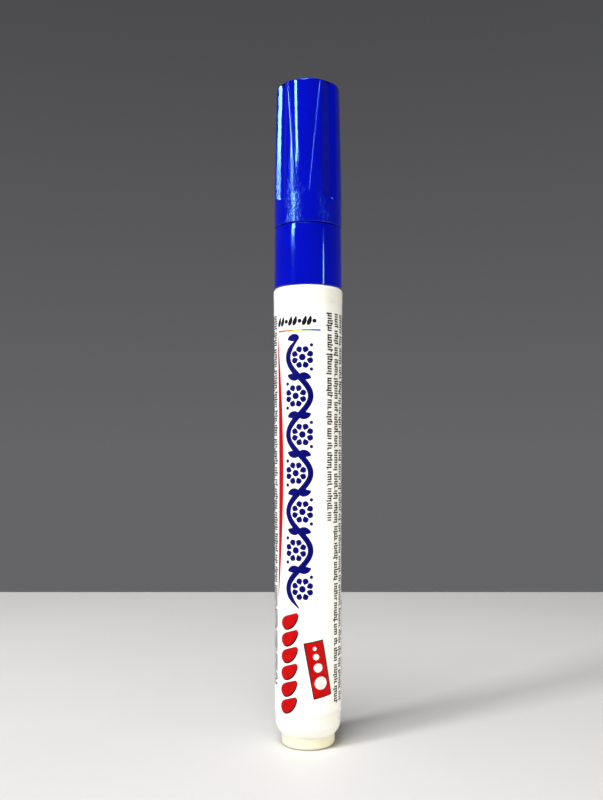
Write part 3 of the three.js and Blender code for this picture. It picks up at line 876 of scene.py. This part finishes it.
class MARKER_OT_spring(bpy.types.Operator):
    """Round wire carried along a rising circle between its seats"""

    bl_idname = "marker.spring"
    bl_label = "Valve spring"

    def execute(self, context):
        wire, turns = 0.2, 8
        mean = SPRING_RADIUS - wire
        bottom, top = SPRING_BOTTOM + wire, SPRING_TOP - wire
        share = np.linspace(0, 1, turns * 40 + 1)[:, None]
        angle = share * turns * 2 * np.pi
        round_wire = np.linspace(2 * np.pi, 0, 14, endpoint=False)[None, :]
        slope = math.atan2(top - bottom, 2 * np.pi * mean * turns)
        radius, up = mean + wire * np.cos(round_wire), wire * np.sin(round_wire)
        x = radius * np.cos(angle) + up * math.sin(slope) * np.sin(angle)
        y = radius * np.sin(angle) - up * math.sin(slope) * np.cos(angle)
        points = np.stack([x, y, bottom + (top - bottom) * share + up * math.cos(slope)], axis=-1)
        made = closed_surface("spring_wire", points, *points[[0, -1]].mean(axis=1))
        dress(made, "pen_body", ["valve_spring"], "spring_steel")
        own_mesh(made)
        return {"FINISHED"}


class MARKER_OT_mixing_ball(bpy.types.Operator):
    """Polished steel ball"""

    bl_idname = "marker.mixing_ball"
    bl_label = "Mixing ball"

    def execute(self, context):
        turn = np.linspace(-np.pi / 2, np.pi / 2, 49)
        middle, radius = (BALL_BOTTOM + BALL_TOP) / 2, (BALL_TOP - BALL_BOTTOM) / 2
        made = turned("steel_ball", pairs(radius * np.cos(turn), middle + radius * np.sin(turn)), 96)
        dress(made, "mixing_ball", ["mixing_ball"], "ball_steel", sharp=60)
        return {"FINISHED"}


class MARKER_OT_cap(bpy.types.Operator):
    """Cap shell with a V-shaped recess at the front and back, and a round-ended flute on each side of both"""

    bl_idname = "marker.cap"
    bl_label = "Cap shell"

    def end(self):
        """Height of the middle of a recess's round lower end, and the lean of its sides."""
        size = sizes()
        height = CAP_BOTTOM + size.relief_rise + size.recess_end
        return height, math.atan2(size.recess_top - size.recess_end, CAP_TOP - height)

    def half_width(self, height):
        """Half width of a recess above its lower end."""
        end, lean = self.end()
        return sizes().recess_end / math.cos(lean) + np.clip(height - end, 0, None) * math.tan(lean)

    def recess(self, angle, height):
        """Depth of a recess. Its outline, measured across and along the cap, is a V on a round lower end. A
        ramp leads up from that end, where the floor is shallow and hollow. Higher up the floor is crowned:
        its depth grows with the square of the distance from the middle. A round crest leads to it from
        outside."""
        size = sizes()
        end, lean = self.end()
        across, above = np.abs(cap_radius(height) * np.sin(angle)), height - end
        along = across * math.sin(lean) + above * math.cos(lean)
        beside = across * math.cos(lean) - above * math.sin(lean)
        within = size.recess_end - np.where(along < 0, np.hypot(across, above), beside)
        rise = np.clip(above / (CAP_TOP - end), 0, 1)
        crown = (1 + HOLLOW) * smooth_step(rise * 4 - 0.5) - HOLLOW
        floor = RECESS_LOW + (size.recess_depth - RECESS_LOW) * smooth_step(rise * 2.5)
        floor = floor * (1 - crown + crown * (across / self.half_width(height)) ** 2)
        floor = floor * smooth_step((above + size.recess_end) / RAMP)
        slope = np.clip(within + CREST, 0, None) ** 2 / (2 * CREST_RADIUS) + np.clip(within, 0, None)
        return np.clip(-soft_max(-floor, -slope, 0.02), 0, None)

    def flute(self, angle, height):
        """Depth of a flute, with the angle counted outwards from its valley: a wide wall on the recess's side
        and a steep one on the other, both nearly flat, meet in the rounded valley, and a parabola ends them
        below."""
        size, radius = sizes(), cap_radius(height)
        across = radius * np.sin(np.clip(angle, -1.2, 1.2))
        inner, outer = [
            (size.flute_depth - reach**2 / (2 * radius)) / (math.hypot(reach, VALLEY) - VALLEY)
            for reach in (size.flute_inner, size.flute_outer)
        ]
        beside = (outer - inner) / 2 * across + (outer + inner) / 2 * (np.hypot(across, VALLEY) - VALLEY)
        below = np.clip((CAP_BOTTOM + size.flute_rise - height) / FLUTE_FOOT + 1, 0, None)
        depth = size.flute_depth * (1 - below**2) - beside - across**2 / (2 * radius)
        return soft_max(depth, 0.0, 0.05)

    def outline(self):
        """Rows of the cap from the middle of its ceiling to the middle of its top, closest at the relief's
        lower ends, and the numbers of the first row of the outer side and of the first one past it."""
        ceiling, step = LINER_TOP + 0.1, LINER_BOTTOM + 0.2
        bore, upper_bore = CAP_RADIUS - 0.9, LINER_RADIUS + 0.15
        inside = [(0, ceiling, 0), (upper_bore - 0.44, ceiling, 0.5), (upper_bore, step, 0.05)]
        mouth = [(bore, step, 0.1), (bore, CAP_BOTTOM, 0.14)]
        lip = [(CAP_RADIUS, CAP_BOTTOM, 0.12), (CAP_RADIUS, CAP_BOTTOM + 0.4, 0)]
        inside = rounded(inside + mouth + lip)[:-1]
        relief, edge = CAP_BOTTOM + sizes().relief_rise, CAP_EDGE
        heights = [
            *np.linspace(CAP_BOTTOM + 0.2, relief - 1.2, 8),
            *np.arange(relief - 1.1, relief + 2.6, 0.09),
            *np.linspace(relief + 2.75, CAP_TOP - edge - 0.05, 58),
        ]
        side = pairs(cap_radius(np.array(heights)), heights)
        rim = cap_radius(CAP_TOP - edge)
        outer = np.vstack([side, quarter_round(rim, CAP_TOP - edge, -edge, edge, 22)])
        top = [(rim - edge - 0.05, CAP_TOP), (2.0, CAP_TOP), (0, CAP_TOP)]
        return np.vstack([inside, outer, top]), len(inside), len(inside) + len(outer)

    def angles(self, height):
        """Angles of the columns at each height, counted from a recess: they follow the sides of the recess
        and the edges and the valley of the flute over a quarter of the cap. The other quarters mirror it."""
        height = np.clip(height, self.end()[0], CAP_TOP)
        radius = cap_radius(height)
        side = np.arcsin(self.half_width(height) / radius)
        valley = np.full_like(side, math.radians(sizes().flute_turn))
        flute = valley - sizes().flute_inner / radius, valley, valley + sizes().flute_outer / radius
        knots = [0 * side, side - 0.2 / radius, side + 0.03 / radius, side + CREST / radius]
        knots += [edge + turn * 0.3 / radius for edge in flute for turn in (-1, 1)]
        knots = np.array([*knots, np.full_like(side, np.pi / 2)])
        knots = np.maximum.accumulate(knots + 0.004 * np.arange(len(knots))[:, None, None], axis=0)
        knots = knots * (np.pi / 2) / knots[-1]
        between = (12, 8, 8, 5, 6, 9, 9, 6, 7, 10)
        parts = [
            start + (end - start) * np.linspace(0, 1, count, endpoint=False)
            for start, end, count in zip(knots, knots[1:], between)
        ]
        quarter = np.concatenate(parts, axis=1)
        half = np.concatenate([quarter, knots[-1], np.pi - quarter[:, :0:-1]], axis=1)
        return np.concatenate([half, half + np.pi], axis=1)

    def execute(self, context):
        outline, first, last = self.outline()
        radius, height = outline[1:-1, :1], outline[1:-1, 1:]
        angle = self.angles(height)
        from_recess = (angle + np.pi / 2) % np.pi - np.pi / 2
        from_flute = np.abs(from_recess) - math.radians(sizes().flute_turn)
        depth = np.maximum(self.recess(from_recess, height), self.flute(from_flute, height))
        cut = -soft_max(-np.broadcast_to(radius, depth.shape), depth - cap_radius(height), 0.06)
        row = np.arange(len(radius))[:, None]
        outer = (row >= first - 1) & (row < last - 1)
        radius = np.where(outer & (depth > 1e-6), np.minimum(cut, radius), radius)
        points = ring_points(radius, height, angle + math.radians(sizes().relief_turn))
        made = closed_surface("cap_moulding", points, (0, 0, outline[0, 1]), (0, 0, outline[-1, 1]))
        dress(made, "cap", ["cap_shell"], "blue_cap", sharp=50)
        return {"FINISHED"}


class MARKER_OT_liner(bpy.types.Operator):
    """Closed liner in the cap, its rim over the shoulder of the neck"""

    bl_idname = "marker.liner"
    bl_label = "Cap liner"

    def execute(self, context):
        wall, top_radius, ceiling = 0.75, LINER_RADIUS - 0.42, LINER_TOP - 1
        inside = [(0, ceiling, 0), (top_radius - wall, ceiling, 0.5)]
        mouth = [(LINER_RADIUS - wall, LINER_BOTTOM, 0.15), (LINER_RADIUS, LINER_BOTTOM, 0.15)]
        outside = [(top_radius, LINER_TOP, 0.4), (0, LINER_TOP, 0)]
        made = turned("liner_cup", rounded(inside + mouth + outside), sizes().sides)
        dress(made, "cap", ["inner_cap"], "natural_plastic")
        return {"FINISHED"}


# Stage


class MARKER_OT_stage(bpy.types.Operator):
    """Pale table top, soft studio light and the camera"""

    bl_idname = "marker.stage"
    bl_label = "Stage"

    def floor(self):
        """Flat pale table top, a grid of two parameters, whose far edge makes the horizon."""
        near, far, reach = -900.0, 210.0, 1200.0
        across, along = np.meshgrid(np.linspace(-reach, reach, 13), np.linspace(near, far, 9))
        points = np.stack([across, along, 0 * along], axis=-1).reshape(-1, 3)
        made = mesh_object("pale_floor", points, grid_faces(*along.shape))
        material, tree, shader = finish("pale_floor", Roughness=0.6)
        vary_colour(tree, shader, object_noise(tree, 8, 3), (0.7, 0.69, 0.68), (0.74, 0.73, 0.72))
        made.data.materials.append(material)

    def sky(self, strength):
        """Even grey world that darkens from the horizon upwards."""
        world = bpy.data.worlds.new("even_sky")
        world.use_nodes = True
        tree = world.node_tree
        rise = run_between(tree, height_of(tree, "Generated"), 0, 0.6)
        low, high = (1.0, 1.0, 1.04, 1.0), (0.4, 0.4, 0.42, 1.0)
        mix = add_node(tree, "ShaderNodeMix", data_type="RGBA", Factor=rise, A=low, B=high)
        feed(tree, tree.nodes["Background"], Color=mix.outputs["Result"], Strength=strength)
        bpy.context.scene.world = world

    def light(self, name, azimuth, height, distance, size, power, colour=(1, 1, 1), aim=0.07, spread=180):
        """Soft rectangular light aimed at a height on the marker; azimuth 0 is the camera's side."""
        data = bpy.data.lights.new(name, "AREA")
        data.shape = "RECTANGLE"
        data.size, data.size_y = size
        data.energy, data.color, data.spread = power, colour, math.radians(spread)
        made = add_object(name, data)
        turn = math.radians(azimuth)
        made.location = (distance * math.sin(turn), -distance * math.cos(turn), height)
        made.rotation_euler = (Vector((0, 0, aim)) - made.location).to_track_quat("-Z", "Y").to_euler()
        made.visible_camera = False

    def camera(self, stage):
        """Upright camera just beside the middle of the marker's front, its frame shifted upwards."""
        data = bpy.data.cameras.new("camera")
        data.sensor_width, data.lens, data.shift_y, data.clip_start = 36, stage.lens, 0.0688, 0.01
        made = add_object("camera", data)
        made.location = (-0.0014, -stage.distance, stage.height)
        made.rotation_euler = (math.pi / 2, 0, 0)
        bpy.context.scene.camera = made

    def execute(self, context):
        stage = context.scene.marker_stage
        self.floor()
        self.light("window_light", -53, 0.4, 0.62, (0.13, 0.26), stage.window)
        self.light("lamp_light", 53, 0.21, 0.5, (0.02, 0.035), stage.lamp)
        self.light("ceiling_light", -20, 0.95, 0.38, (0.4, 0.4), stage.ceiling)
        self.light("table_light", 62, 0.03, 0.36, (0.22, 0.04), stage.table, (1, 0.92, 0.74), 0.045, 45)
        self.sky(stage.sky)
        self.camera(stage)
        context.scene.view_settings.view_transform = "Standard"
        return {"FINISHED"}


GROUPS = {"marker_sizes": MarkerSizes, "marker_colours": MarkerColours, "marker_stage": MarkerStage}

PIECES = (
    MARKER_OT_barrel, MARKER_OT_tail_plug, MARKER_OT_label, MARKER_OT_print,
    MARKER_OT_front_section, MARKER_OT_nib, MARKER_OT_valve, MARKER_OT_spring,
    MARKER_OT_mixing_ball, MARKER_OT_cap, MARKER_OT_liner, MARKER_OT_stage,
)


class MARKER_PT_sidebar(bpy.types.Panel):
    """Lists the settings and the operators that build the marker"""

    bl_idname = "MARKER_PT_sidebar"
    bl_label = "Paint marker"
    bl_space_type = "VIEW_3D"
    bl_region_type = "UI"
    bl_category = "Paint marker"

    def draw(self, context):
        for name, kind in GROUPS.items():
            box = self.layout.box()
            for key in kind.__annotations__:
                box.prop(getattr(context.scene, name), key)
        for operator in PIECES:
            self.layout.operator(operator.bl_idname)


CLASSES = (*GROUPS.values(), *PIECES, MARKER_PT_sidebar)


def register():
    for kind in CLASSES:
        bpy.utils.register_class(kind)
    for name, kind in GROUPS.items():
        setattr(bpy.types.Scene, name, PointerProperty(type=kind))


def unregister():
    for name in GROUPS:
        delattr(bpy.types.Scene, name)
    for kind in reversed(CLASSES):
        bpy.utils.unregister_class(kind)


def main():
    register()
    for operator in PIECES:
        group, name = operator.bl_idname.split(".")
        getattr(getattr(bpy.ops, group), name)()


if __name__ == "__main__":
    main()
